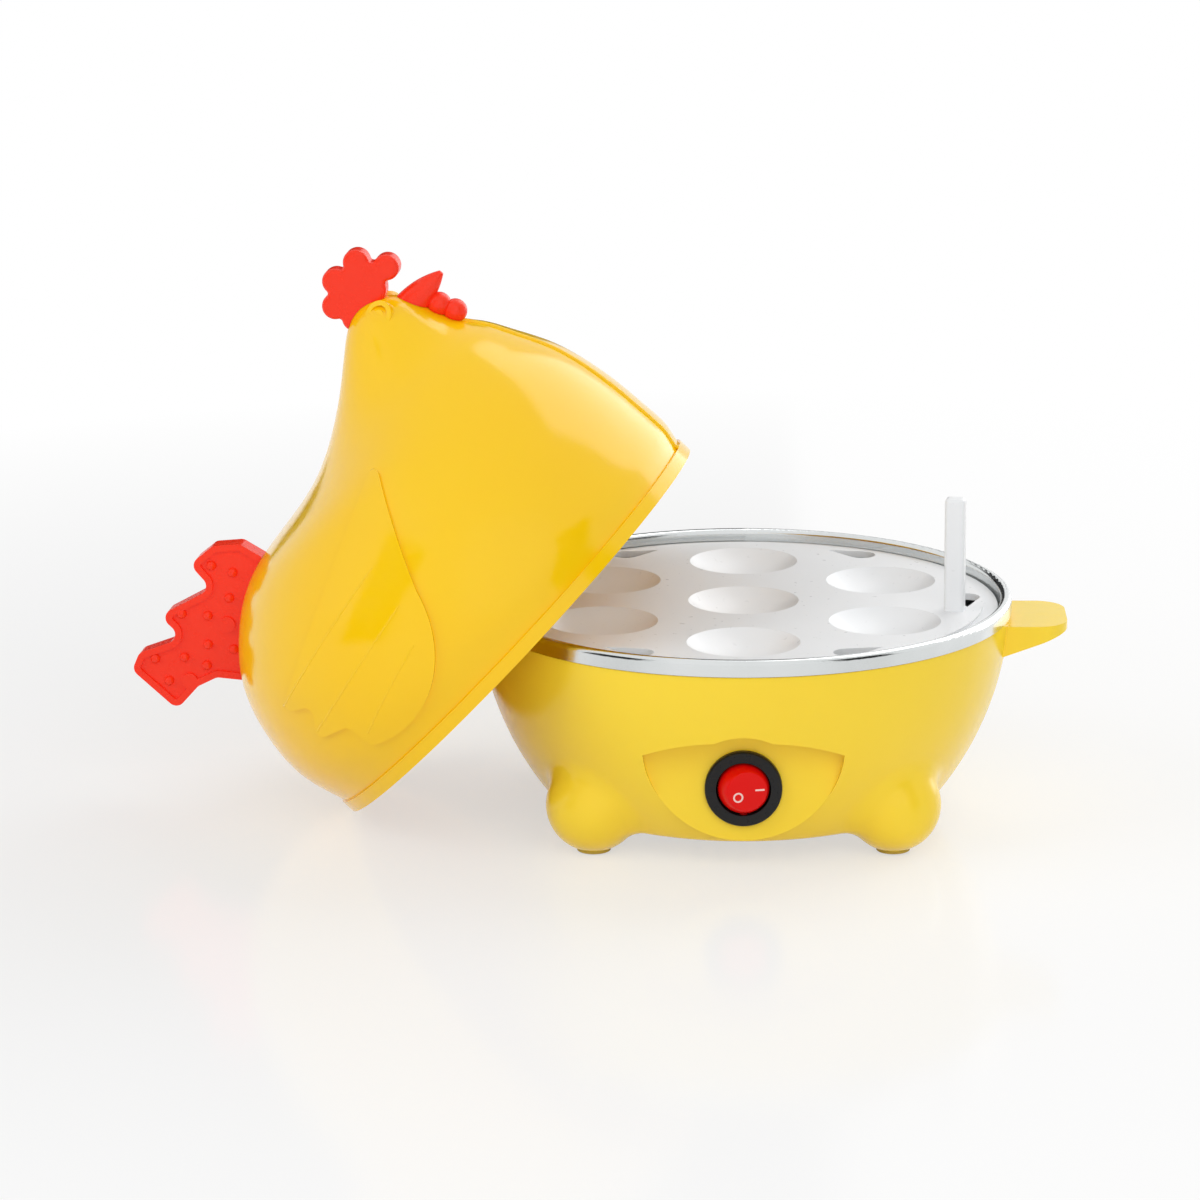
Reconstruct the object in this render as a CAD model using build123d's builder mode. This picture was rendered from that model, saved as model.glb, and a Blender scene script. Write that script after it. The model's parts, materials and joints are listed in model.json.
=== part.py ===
from build123d import *
import math
import os

os.makedirs("parts", exist_ok=True)

# Clearances shared by all pieces, and the extra length of every cut
cut_overrun = 4.0
moving_gap = 0.35
fitted_gap = 0.15
thread_gap = 0.05

# Base shell: a bowl on four ball feet, with an upright lip for the steel pan
shell_top_radius = 79.4
shell_top_height = 62.0
shell_belly_draw = 7.3
shell_belly_share = 0.416
shell_base_draw = 21.4
shell_base_height = 6.5
shell_base_round = 4.0
shell_wall = 2.5
lip_inset = 0.5
lip_wall = 1.2
lip_height = 3.9

foot_count = 4
foot_start_angle = 45
foot_radius = 14.0
foot_blend = 9.0
foot_outset = 4.0
pad_radius = 5.0
pad_thickness = 3.2
pad_show = 0.8

# Side grips: a wedge on the left and on the right
grip_length = 16.9
grip_width = 31.0
grip_drop = 2.0
grip_tip_thickness = 2.4
grip_root_thickness = 11.0
grip_corner_radius = 9.0

# Switch panel: a flat let into the front of the bowl, round below and bow-shaped above
panel_inset = 8.1
panel_half_width = 29.0
panel_bottom_height = 9.0
panel_corner_height = 36.0
panel_side_height = 39.8
panel_shoulder_height = 41.4
panel_shoulder_half_width = 8.5
panel_crest_height = 43.5
panel_depth = 16.0

# Rocker switch, let into the panel
switch_height = 25.0
switch_body_radius = 9.9
switch_body_depth = 17.0
switch_bezel_radius = 11.2
switch_bezel_thickness = 2.2
switch_bezel_round = 0.8
switch_pivot_rise = -0.6
rocker_radius = 7.6
rocker_rise = 5.0
rocker_depth = 5.0
rocker_edge_round = 0.6
rocker_throw = 26
rocker_pin_radius = 1.2
rocker_pin_length = 1.0
switch_tab_spacing = 11.0
switch_tab_width = 4.8
switch_tab_thickness = 0.8
switch_tab_length = 8.0

# Steel pan, hooked over the shell's lip
pan_sheet = 0.8
pan_rim_gap = 0.3
pan_depth = 14.0
pan_slope_run = 19.2
pan_seat_drop = 2.0
pan_seat_width = 3.4
pan_bend_radius = 1.5
stud_radius = 2.0
stud_length = 15.0

# Egg tray, resting on the pan's seat
tray_side_gap = 0.8
tray_seat_gap = 0.2
tray_rim_width = 3.0
tray_rise = 4.0
tray_plate_thickness = 2.0
tray_step = 0.8
cup_ring_inset = 27.8
cup_pitch = 47.0
cup_mouth_radius = 16.5
cup_depth = 6.2
cup_wall = 1.6
cup_drain_radius = 4.0
steam_ring_inset = 9.3
steam_round_radius = 4.2
steam_length = 16.0
post_ring_inset = 12.3
post_angle = 10
post_width = 6.0
post_thickness = 5.0
post_rise = 34.0
post_round = 1.2

# Lid: a hen-shaped dome, standing beside the base and leaning over it
lid_edge_inset = 1.8
lid_wall = 2.2
lid_head_height = 101.0
lid_band_step = 1.0
lid_band_height = 4.0
lid_tilt = 46.8
lid_yaw = 5
lid_side_offset = -66.8
lid_back_offset = 5.0
wing_relief = 1.1
eye_ring_radius = 4.5
eye_ring_width = 1.5
eye_pupil_radius = 1.7
eye_relief = 0.9
eye_root = 2.0
eye_lift = 35
wing_corner_radius = 2.0

# Red trim of the lid
trim_gap = 0.15
peg_radius = 1.8
peg_length = 8.0
peg_root = 6.0
clip_ring_radius = 4.0
comb_lobe_radius = 3.9
comb_core_radius = 7.0
comb_thickness = 7.0
comb_notch_radius = 1.0
comb_round = 1.4
beak_length = 9.5
beak_height = 9.5
beak_thickness = 8.0
beak_root = 6.0
wattle_radius = 3.6
tail_thickness = 7.0
tail_border_width = 2.0
tail_border_depth = 0.8
tail_bump_radius = 1.5
tail_boss_radius = 2.4
tail_corner_radius = 2.8

# Screws: one size for the shell and one for sheet-metal pieces
shell_screw_radius = 1.5
shell_screw_head_radius = 2.8
shell_screw_head_height = 1.8
shell_screw_length = 9.0
small_screw_radius = 1.2
small_screw_head_radius = 2.2
small_screw_head_height = 1.4
small_screw_length = 3.2
recess_width = 0.7
recess_depth = 0.8

# Bottom cover and the posts that it is screwed to
cover_flange_width = 10.0
cover_thickness = 2.4
cover_inset = 0.4
boss_ring_inset = 8.0
boss_radius = 3.8
boss_length = 14.0
rib_thickness = 2.4
vent_length = 22.0
vent_width = 3.0
vent_spacing = 7.0
vent_count = 5

# Brackets that hold the pan down on ledges of the shell
bracket_count = 3
bracket_start_angle = 0
bracket_width = 10.0
bracket_sheet = 1.2
bracket_top_length = 7.5
bracket_foot_length = 15.0
bracket_height = 7.2
ledge_thickness = 4.0
ledge_width = 14.0
ledge_reach = 17.1
ledge_screw_reach = 10.6

# Heater under the pan
spreader_edge_width = 11.0
spreader_thickness = 3.0
spreader_notch_margin = 2.2
tube_ring_inset = 9.0
tube_radius = 3.3
tube_gap_angle = 60
tube_tail_length = 6.0
tube_sink_share = 0.6
bead_radius = 2.6
bead_length = 4.0
pin_radius = 1.1
pin_length = 7.0
strap_width = 12.0
strap_sheet = 1.2
strap_length = 80.0
nut_across = 7.0
nut_height = 3.2

# Thermostat and thermal fuse, both on the spreader
thermostat_offset = 18.0
thermostat_cup_radius = 8.0
thermostat_cup_height = 5.0
thermostat_base_radius = 7.6
thermostat_base_height = 9.0
thermostat_ear_spacing = 24.0
thermostat_ear_radius = 3.4
thermostat_ear_thickness = 0.8
thermostat_tab_width = 4.8
thermostat_tab_thickness = 0.8
thermostat_tab_reach = 15.0
fuse_offset = 17.0
fuse_radius = 2.0
fuse_length = 11.0
fuse_wire_radius = 0.6
fuse_wire_reach = 20.0
sleeve_radius = 3.2
sleeve_length = 26.0
clip_sheet = 0.8
clip_width = 8.0
clip_foot_length = 6.0

# Terminal block on the bottom cover, and the gland in the back wall
block_inset = 12.0
block_width = 22.0
block_depth = 16.0
block_height = 14.0
block_wire_height = 7.0
block_wire_radius = 2.0
block_spacing = 11.0
block_screw_radius = 1.8
block_screw_height = 3.0
gland_height = 25.0
gland_inset = 7.1
gland_bore_radius = 3.5
gland_body_radius = 5.2
gland_flange_radius = 8.0
gland_flange_thickness = 2.0
gland_lip_radius = 6.4
gland_lip_thickness = 2.0
gland_pad_radius = 9.5

# Leads between the electrical pieces
lead_radius = 1.2
lead_bend_radius = 3.6
lead_side_reach = 29.0
lead_inner_reach = 22.5
lead_crossing_rise = 2.2
lead_middle_rise = 3.2
lead_end_run = 3.2
lead_bend_run = 8.0
lead_bend_share = 0.45

# Levels and radii that follow from the sizes above
shell_belly_radius = shell_top_radius - shell_belly_draw
shell_belly_height = shell_base_height + shell_belly_share * (shell_top_height - shell_base_height)
shell_base_radius = shell_top_radius - shell_base_draw
foot_ring_radius = shell_base_radius + foot_outset
panel_distance = shell_belly_radius - panel_inset
gland_distance = shell_belly_radius - gland_inset
ledge_inner_radius = shell_belly_radius - ledge_reach
ledge_screw_radius = shell_belly_radius - ledge_screw_reach
cover_radius = shell_base_radius - cover_flange_width
boss_ring_radius = cover_radius - boss_ring_inset
block_distance = cover_radius - block_inset
pan_seat_height = shell_top_height - pan_seat_drop
pan_floor_height = pan_seat_height - pan_depth
lip_radius = shell_top_radius - lip_inset
lip_top = shell_top_height + lip_height
lip_inner_radius = lip_radius - lip_wall
collar_radius = lip_inner_radius - pan_rim_gap - pan_sheet
skirt_radius = lip_radius + pan_rim_gap + pan_sheet
skirt_bottom = shell_top_height + pan_rim_gap
rim_top = lip_top + pan_rim_gap + pan_sheet
pan_underside = pan_floor_height - pan_sheet
ledge_height = pan_underside - bracket_height
seat_inner_radius = collar_radius - pan_seat_width
pan_floor_radius = seat_inner_radius - pan_slope_run
spreader_radius = pan_floor_radius - spreader_edge_width
tube_ring_radius = spreader_radius - tube_ring_inset
tray_radius = collar_radius - tray_side_gap
cup_ring_radius = tray_radius - cup_ring_inset
cup_ring_count = int(2 * math.pi * cup_ring_radius / cup_pitch)
steam_ring_radius = tray_radius - steam_ring_inset
post_ring_radius = tray_radius - post_ring_inset
tray_underside = pan_seat_height + tray_seat_gap
tray_top = tray_underside + tray_rise
lid_radius = tray_radius - lid_edge_inset
body_radius = lid_radius - lid_band_step
tray_step_radius = lid_radius - lid_wall - moving_gap
cover_bottom = shell_base_height + cover_inset
cover_top = cover_bottom + cover_thickness
grip_top = shell_top_height - grip_drop
grip_end = shell_top_radius + grip_length
pivot_distance = panel_distance + switch_pivot_rise
spreader_bottom = pan_underside - spreader_thickness
tube_height = spreader_bottom - tube_radius + tube_radius * tube_sink_share
tube_bottom = tube_height - tube_radius
strap_top = tube_bottom - fitted_gap
strap_bottom = strap_top - strap_sheet
switch_back_distance = panel_distance - switch_body_depth
tab_end_distance = switch_back_distance - switch_tab_length


# The bowl's wall as an arc, drawn inwards by a wall thickness where asked
def bowl_wall(inwards):
    top = (shell_top_radius - inwards, shell_top_height)
    belly = (shell_belly_radius - inwards, shell_belly_height)
    base = (shell_base_radius - inwards, shell_base_height + inwards)
    return ThreePointArc(top, belly, base)


# A screw standing on its head, with its shank along +Z from the seat plane
def make_screw(shank_radius, head_radius, head_height, length):
    with BuildPart() as screw:
        Cylinder(shank_radius, length, align=(Align.CENTER, Align.CENTER, Align.MIN))
        with Locations((0, 0, -head_height)):
            Cylinder(head_radius, head_height, align=(Align.CENTER, Align.CENTER, Align.MIN))
        with BuildSketch(Plane.XY.offset(-head_height)):
            Rectangle(head_radius, recess_width)
            Rectangle(recess_width, head_radius)
        extrude(amount=recess_depth, mode=Mode.SUBTRACT)
    return screw.part


shell_screw = make_screw(
    shell_screw_radius, shell_screw_head_radius, shell_screw_head_height, shell_screw_length
)
bracket_screw = make_screw(
    shell_screw_radius,
    shell_screw_head_radius,
    shell_screw_head_height,
    ledge_thickness + 2 * bracket_sheet,
)
small_screw = make_screw(
    small_screw_radius, small_screw_head_radius, small_screw_head_height, small_screw_length
)


# Outline of the switch panel, seen from the front
def panel_outline():
    side_middle = (panel_half_width + panel_shoulder_half_width) / 2
    with BuildLine() as outline:
        ThreePointArc(
            (-panel_half_width, panel_corner_height),
            (0, panel_bottom_height),
            (panel_half_width, panel_corner_height),
        )
        ThreePointArc(
            (panel_half_width, panel_corner_height),
            (side_middle, panel_side_height),
            (panel_shoulder_half_width, panel_shoulder_height),
        )
        ThreePointArc(
            (panel_shoulder_half_width, panel_shoulder_height),
            (0, panel_crest_height),
            (-panel_shoulder_half_width, panel_shoulder_height),
        )
        ThreePointArc(
            (-panel_shoulder_half_width, panel_shoulder_height),
            (-side_middle, panel_side_height),
            (-panel_half_width, panel_corner_height),
        )
    return outline.line


panel_line = panel_outline()
panel_plane = Plane.XZ.offset(panel_distance)
gland_plane = Plane(origin=(0, gland_distance, gland_height), x_dir=(-1, 0, 0), z_dir=(0, 1, 0))
hollow_top_start = pan_seat_height - pan_sheet - pan_bend_radius
backing_height = panel_crest_height + shell_wall
boss_places = PolarLocations(boss_ring_radius, foot_count, start_angle=foot_start_angle)
ledge_places = PolarLocations(0, bracket_count, start_angle=bracket_start_angle)
ledge_holes = PolarLocations(ledge_screw_radius, bracket_count, start_angle=bracket_start_angle)
up_from_base = (Align.CENTER, Align.CENTER, Align.MIN)
out_from_axis = (Align.MIN, Align.CENTER, Align.MIN)

# Hollow of the base shell, less the posts, ledges and backing walls that stand in it
with BuildPart() as shell_hollow:
    with BuildSketch(Plane.XZ):
        with BuildLine():
            wall_line = bowl_wall(shell_wall)
            Polyline(
                wall_line @ 1,
                (0, shell_base_height + shell_wall),
                (0, shell_top_height),
                wall_line @ 0,
            )
        make_face()
    revolve(axis=Axis.Z)
    with BuildSketch(Plane.XY.offset(hollow_top_start)):
        Circle(lip_inner_radius)
    extrude(amount=lip_top + cut_overrun - hollow_top_start)
    with BuildSketch(panel_plane.offset(-shell_wall)):
        with Locations((0, backing_height)):
            Rectangle(
                2 * (panel_half_width + shell_wall), backing_height, align=(Align.CENTER, Align.MAX)
            )
    extrude(amount=shell_top_radius, mode=Mode.SUBTRACT)
    with BuildSketch(gland_plane.offset(-shell_wall)):
        Circle(gland_pad_radius + shell_wall)
    extrude(amount=shell_top_radius, mode=Mode.SUBTRACT)
    with boss_places:
        with Locations((0, 0, cover_top)):
            Cylinder(boss_radius, boss_length, align=up_from_base, mode=Mode.SUBTRACT)
            Box(shell_top_radius, rib_thickness, boss_length, align=out_from_axis, mode=Mode.SUBTRACT)
    with ledge_places:
        with Locations((ledge_inner_radius, 0, ledge_height - ledge_thickness)):
            Box(shell_top_radius, ledge_width, ledge_thickness, align=out_from_axis, mode=Mode.SUBTRACT)

# Base shell: bowl, feet, panel, grips and gland pad, then hollowed
with BuildPart() as base_shell:
    with BuildSketch(Plane.XZ):
        with BuildLine():
            wall_line = bowl_wall(0)
            Polyline(
                wall_line @ 1,
                (0, shell_base_height),
                (0, lip_top),
                (lip_radius, lip_top),
                (lip_radius, shell_top_height),
                wall_line @ 0,
            )
        make_face()
    revolve(axis=Axis.Z)
    fillet(base_shell.edges().group_by(Axis.Z)[0], radius=shell_base_round)
    with PolarLocations(foot_ring_radius, foot_count, start_angle=foot_start_angle):
        with Locations((0, 0, foot_radius)):
            Sphere(foot_radius)
    fillet(base_shell.edges(Select.NEW), radius=foot_blend)
    with BuildSketch(panel_plane):
        add(panel_line)
        make_face()
    extrude(amount=-panel_depth)
    with BuildSketch(panel_plane):
        add(panel_line)
        make_face()
    extrude(amount=panel_depth, mode=Mode.SUBTRACT)
    with BuildSketch(Plane.XZ):
        with BuildLine():
            Polyline(
                (shell_belly_radius, grip_top),
                (grip_end, grip_top),
                (grip_end, grip_top - grip_tip_thickness),
                (shell_belly_radius, grip_top - grip_root_thickness),
                close=True,
            )
        make_face()
        mirror(about=Plane.YZ)
    extrude(amount=grip_width / 2, both=True)
    grip_corners = base_shell.edges().filter_by(Axis.Z).filter_by(
        lambda edge: abs(edge.center().X) > grip_end - thread_gap
    )
    fillet(grip_corners, radius=grip_corner_radius)
    with BuildSketch(gland_plane):
        Circle(gland_pad_radius)
    extrude(amount=-panel_depth)
    with BuildSketch(gland_plane):
        Circle(gland_pad_radius)
    extrude(amount=panel_depth, mode=Mode.SUBTRACT)
    add(shell_hollow.part, mode=Mode.SUBTRACT)
    with BuildSketch():
        Circle(cover_radius + fitted_gap)
    extrude(amount=cover_top, mode=Mode.SUBTRACT)
    with BuildSketch(panel_plane):
        with Locations((0, switch_height)):
            Circle(switch_body_radius + fitted_gap)
    extrude(amount=-panel_depth, mode=Mode.SUBTRACT)
    with BuildSketch(gland_plane):
        Circle(gland_body_radius + fitted_gap)
    extrude(amount=-panel_depth, mode=Mode.SUBTRACT)
    with BuildSketch(Plane.XY.offset(cover_top)):
        with boss_places:
            Circle(shell_screw_radius + thread_gap)
    extrude(amount=shell_screw_length, mode=Mode.SUBTRACT)
    with BuildSketch(Plane.XY.offset(ledge_height)):
        with ledge_holes:
            Circle(shell_screw_radius + thread_gap)
    extrude(amount=-ledge_thickness, mode=Mode.SUBTRACT)
    with BuildSketch():
        with PolarLocations(foot_ring_radius, foot_count, start_angle=foot_start_angle):
            Circle(pad_radius + fitted_gap)
    extrude(amount=pad_thickness, mode=Mode.SUBTRACT)
    with BuildSketch():
        with PolarLocations(foot_ring_radius, foot_count, start_angle=foot_start_angle):
            Circle(foot_radius)
    extrude(amount=pad_show, mode=Mode.SUBTRACT)
base_shell.part.label = "base_shell"
export_step(base_shell.part, "parts/base_shell.step")

# Rubber pads under the feet
with BuildPart() as foot_pads:
    with BuildSketch():
        with PolarLocations(foot_ring_radius, foot_count, start_angle=foot_start_angle):
            Circle(pad_radius)
    extrude(amount=pad_thickness)
    fillet(foot_pads.edges().group_by(Axis.Z)[0], radius=pad_show / 2)
foot_pads.part.label = "foot_pads"
export_step(foot_pads.part, "parts/foot_pads.step")

# Bottom cover with vent slots and countersunk screw seats
with BuildPart() as bottom_cover:
    with BuildSketch(Plane.XY.offset(cover_bottom)):
        Circle(cover_radius)
        with Locations((0, -vent_length)):
            with GridLocations(vent_spacing, 0, vent_count, 1):
                SlotOverall(vent_length, vent_width, rotation=90, mode=Mode.SUBTRACT)
        with boss_places:
            Circle(shell_screw_radius + fitted_gap, mode=Mode.SUBTRACT)
    extrude(amount=cover_thickness)
    with BuildSketch(Plane.XY.offset(cover_bottom)):
        with boss_places:
            Circle(shell_screw_head_radius + fitted_gap)
    extrude(amount=cover_thickness / 2, mode=Mode.SUBTRACT)
bottom_cover.part.label = "bottom_cover"
export_step(bottom_cover.part, "parts/bottom_cover.step")

with BuildPart() as cover_screws:
    with boss_places:
        with Locations((0, 0, cover_bottom + cover_thickness / 2)):
            add(shell_screw)
cover_screws.part.label = "cover_screws"
export_step(cover_screws.part, "parts/cover_screws.step")

# Steel pan: floor, sloping side, tray seat, upright collar and rolled rim, with a stud below
with BuildPart() as heating_pan:
    with BuildSketch(Plane.XZ):
        with BuildLine():
            FilletPolyline(
                (0, pan_floor_height),
                (pan_floor_radius, pan_floor_height),
                (seat_inner_radius, pan_seat_height),
                (collar_radius, pan_seat_height),
                (collar_radius, rim_top),
                (skirt_radius, rim_top),
                (skirt_radius, skirt_bottom),
                radius=pan_bend_radius,
            )
            offset(amount=pan_sheet, side=Side.RIGHT)
        make_face()
    revolve(axis=Axis.Z)
    with BuildSketch(Plane.XY.offset(pan_underside)):
        Circle(stud_radius)
    extrude(amount=-stud_length)
heating_pan.part.label = "heating_pan"
export_step(heating_pan.part, "parts/heating_pan.step")


# A cap of a sphere that hangs below a level, of a given mouth radius and depth
def make_cap(level, mouth_radius, depth):
    sphere_radius = (mouth_radius ** 2 + depth ** 2) / (2 * depth)
    half_angle = math.asin(mouth_radius / sphere_radius) / 2
    middle = (
        sphere_radius * math.sin(half_angle),
        level - depth + sphere_radius * (1 - math.cos(half_angle)),
    )
    with BuildPart() as cap:
        with BuildSketch(Plane.XZ):
            with BuildLine():
                ThreePointArc((0, level - depth), middle, (mouth_radius, level))
                Polyline((mouth_radius, level), (0, level), (0, level - depth))
            make_face()
        revolve(axis=Axis.Z)
    return cap.part


cup_solid = make_cap(tray_top, cup_mouth_radius + cup_wall, cup_depth + cup_wall)
cup_hollow = make_cap(tray_top, cup_mouth_radius, cup_depth)
cup_places = [(0, 0)]
for cup in range(cup_ring_count):
    cup_angle = math.radians((cup + 1 / 2) * 360 / cup_ring_count)
    cup_places.append((cup_ring_radius * math.cos(cup_angle), cup_ring_radius * math.sin(cup_angle)))
steam_tip = steam_length - steam_round_radius
steam_shift = steam_length / 2 - steam_round_radius
steam_flank = math.acos(steam_round_radius / steam_tip)
steam_touch = (
    steam_round_radius * math.cos(steam_flank),
    steam_round_radius * math.sin(steam_flank),
)

# One steam hole, drop-shaped, with its round end towards +X
with BuildSketch() as steam_hole:
    with Locations((steam_shift, 0)):
        Circle(steam_round_radius)
        Polygon(
            (-steam_touch[0], steam_touch[1]),
            (-steam_tip, 0),
            (-steam_touch[0], -steam_touch[1]),
            align=None,
        )

# Egg tray: stepped plate on a standing rim, cups, steam holes and two lifting posts
with BuildPart() as egg_tray:
    with BuildSketch(Plane.XZ):
        with BuildLine():
            Polyline(
                (0, tray_top),
                (tray_step_radius, tray_top),
                (tray_step_radius, tray_top - tray_step),
                (tray_radius, tray_top - tray_step),
                (tray_radius, tray_underside),
                (tray_radius - tray_rim_width, tray_underside),
                (tray_radius - tray_rim_width, tray_top - tray_plate_thickness),
                (0, tray_top - tray_plate_thickness),
                close=True,
            )
        make_face()
    revolve(axis=Axis.Z)
    with Locations(*cup_places):
        add(cup_solid)
        add(cup_hollow, mode=Mode.SUBTRACT)
    with BuildSketch(Plane.XY.offset(tray_top)):
        with Locations(*cup_places):
            Circle(cup_drain_radius)
        for hole in range(cup_ring_count):
            hole_angle = hole * 360 / cup_ring_count
            hole_turn = hole_angle + 90 if hole % 2 == 0 else hole_angle - 90
            with PolarLocations(steam_ring_radius, 1, start_angle=hole_angle, rotate=False):
                add(steam_hole.sketch, rotation=hole_turn)
    extrude(amount=-cup_depth - cup_wall - cut_overrun, mode=Mode.SUBTRACT)
    with BuildSketch(Plane.XY.offset(tray_top)):
        with PolarLocations(post_ring_radius, 1, start_angle=-post_angle):
            RectangleRounded(post_width, post_thickness, post_round)
        with PolarLocations(post_ring_radius, 1, start_angle=180 + post_angle):
            RectangleRounded(post_width, post_thickness, post_round)
    extrude(amount=post_rise)
    fillet(egg_tray.edges().group_by(Axis.Z)[-1], radius=post_round)
egg_tray.part.label = "egg_tray"
export_step(egg_tray.part, "parts/egg_tray.step")

# Hen form of the lid: sections from the rim to the crown, each from a back point to a front point.
# Reaches and half widths are shares of the body's radius, heights are shares of the head's height.
lid_section_shares = (
    (-1.000, 0.000, 1.000, 0.000, 1.000),
    (-1.004, 0.040, 1.003, 0.040, 1.003),
    (-1.045, 0.160, 1.022, 0.100, 1.027),
    (-1.036, 0.307, 1.022, 0.178, 1.020),
    (-0.966, 0.460, 1.016, 0.277, 0.973),
    (-0.822, 0.589, 0.995, 0.406, 0.863),
    (-0.582, 0.691, 0.952, 0.525, 0.712),
    (-0.274, 0.725, 0.890, 0.624, 0.562),
    (-0.055, 0.762, 0.836, 0.703, 0.432),
    (0.137, 0.832, 0.781, 0.762, 0.315),
    (0.288, 0.906, 0.730, 0.851, 0.219),
    (0.390, 0.960, 0.695, 0.921, 0.151),
    (0.452, 0.987, 0.644, 0.965, 0.095),
    (0.500, 0.999, 0.596, 0.989, 0.046),
)
comb_core_share = (0.606, 1.030)
comb_lobe_shares = ((-1.39, 0.34), (-0.60, 1.05), (0.62, 0.96), (1.36, -0.10), (-1.18, -0.62))
wing_edge_shares = (
    (0.278, 0.683),
    (-0.159, 0.544),
    (-0.735, 0.372),
    (-0.575, 0.327),
    (-0.685, 0.248),
    (-0.521, 0.218),
    (-0.507, 0.130),
    (-0.107, 0.139),
    (0.107, 0.346),
)
eye_share = (0.592, 0.941)
eye_side_share = 0.112
beak_share = (0.660, 0.896)
beak_taper_shares = ((0.0, 1.0), (0.62, 0.72), (1.0, 0.16))
wattle_shares = ((0.770, 0.837), (0.795, 0.790))
tail_outline_shares = (
    (-0.493, 0.640),
    (-0.537, 0.778),
    (-0.622, 0.832),
    (-0.747, 0.844),
    (-0.760, 0.748),
    (-1.000, 0.805),
    (-1.000, 0.708),
    (-1.178, 0.772),
    (-1.253, 0.752),
    (-1.247, 0.574),
    (-1.110, 0.576),
    (-1.027, 0.554),
    (-0.890, 0.430),
)
tail_bump_shares = (
    (-0.690, 0.795),
    (-0.650, 0.735),
    (-0.740, 0.690),
    (-0.930, 0.760),
    (-0.860, 0.700),
    (-1.150, 0.725),
    (-1.180, 0.650),
    (-1.060, 0.665),
    (-1.020, 0.600),
    (-0.950, 0.640),
    (-0.890, 0.575),
)
tail_boss_shares = ((-0.830, 0.640), (-1.120, 0.605))


# A point of the hen's middle plane, from its shares
def hen_point(reach_share, height_share):
    return (reach_share * body_radius, height_share * lid_head_height)


# The plane of one section, lowered where asked, and the section's half length in it
def section_plane(section, lowering):
    back_reach, back_height = hen_point(section[0], section[1])
    front_reach, front_height = hen_point(section[2], section[3])
    origin = ((back_reach + front_reach) / 2, 0, (back_height + front_height) / 2 - lowering)
    along = Vector(front_reach - back_reach, 0, front_height - back_height)
    plane = Plane(origin=origin, x_dir=along, z_dir=(-along.Z, 0, along.X))
    return plane, along.length / 2


# The hen form grown by an amount, or shrunk and lowered to make the hollow
def hen_form(growth, rim_lowering, lowering, sections):
    with BuildPart() as form:
        for index, section in enumerate(sections):
            plane, half_length = section_plane(section, lowering if index else rim_lowering)
            with BuildSketch(plane):
                Ellipse(half_length + growth, section[4] * body_radius + growth)
        loft()
    return form.part


hen_solid = hen_form(0, 0, 0, lid_section_shares)
hen_hollow = hen_form(-lid_wall, cut_overrun, lid_wall, lid_section_shares[:-1])
hen_clear = hen_form(trim_gap, 0, 0, lid_section_shares)
hen_raised = hen_form(wing_relief, 0, 0, lid_section_shares)

# How the lid stands: its rim touches the table on the left, and its crown leans away from the base
tilt = math.radians(lid_tilt)
yaw = math.radians(lid_yaw)
lid_plane = Plane(
    origin=(lid_side_offset, lid_back_offset, lid_radius * math.sin(tilt)),
    x_dir=(math.cos(tilt) * math.cos(yaw), -math.cos(tilt) * math.sin(yaw), math.sin(tilt)),
    z_dir=(-math.sin(tilt) * math.cos(yaw), math.sin(tilt) * math.sin(yaw), math.cos(tilt)),
)
lid_place = lid_plane.location


# A plane on the hen's outline, midway between two of its points, facing outwards
def outline_plane(first_share, second_share):
    first = Vector(*hen_point(*first_share))
    second = Vector(*hen_point(*second_share))
    middle = (first + second) / 2
    run = second - first
    return Plane(origin=(middle.X, 0, middle.Y), x_dir=(run.X, 0, run.Y), z_dir=(-run.Y, 0, run.X))


comb_peg_plane = section_plane(lid_section_shares[-2], 0)[0]
tail_peg_plane = outline_plane(lid_section_shares[5][0:2], lid_section_shares[6][0:2])
beak_peg_plane = outline_plane(lid_section_shares[11][2:4], lid_section_shares[10][2:4])
peg_planes = (comb_peg_plane, tail_peg_plane, beak_peg_plane)
clip_drop_shares = (1.0, 1.5, 1.6)
eye_reach, eye_height = hen_point(*eye_share)
eye_rise = math.radians(eye_lift)

# Raised wings: the wing outline carried through the form and kept to a thin layer
with BuildPart() as wing_layer:
    with BuildSketch(Plane.XZ) as wing_face:
        with BuildLine():
            wing_points = [hen_point(*share) for share in wing_edge_shares]
            ThreePointArc(wing_points[0], wing_points[1], wing_points[2])
            Polyline(*wing_points[2:7])
            ThreePointArc(wing_points[6], wing_points[7], wing_points[8])
            Line(wing_points[8], wing_points[0])
        make_face()
        fillet(wing_face.vertices(), radius=wing_corner_radius)
    extrude(amount=2 * body_radius, both=True)
    add(hen_raised, mode=Mode.INTERSECT)

# Lid shell: hen form with a proud band at the rim, raised wings, eye rings and peg holes
with BuildPart() as lid_shell:
    add(hen_solid)
    with BuildSketch():
        Circle(lid_radius)
    extrude(amount=lid_band_height)
    add(wing_layer.part)
    for side in (-1, 1):
        eye_plane = Plane(
            origin=(eye_reach, side * eye_side_share * body_radius, eye_height),
            x_dir=(1, 0, 0),
            z_dir=(0, side * math.cos(eye_rise), math.sin(eye_rise)),
        )
        with BuildSketch(eye_plane.offset(-eye_root)):
            Circle(eye_ring_radius)
            Circle(eye_ring_radius - eye_ring_width, mode=Mode.SUBTRACT)
            Circle(eye_pupil_radius)
        extrude(amount=eye_root + eye_relief)
    add(hen_hollow, mode=Mode.SUBTRACT)
    for peg_plane in peg_planes:
        with BuildSketch(peg_plane):
            Circle(peg_radius + fitted_gap)
        extrude(amount=peg_length, both=True, mode=Mode.SUBTRACT)
lid_shell.part.move(lid_place)
lid_shell.part.label = "lid_shell"
export_step(lid_shell.part, "parts/lid_shell.step")

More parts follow.
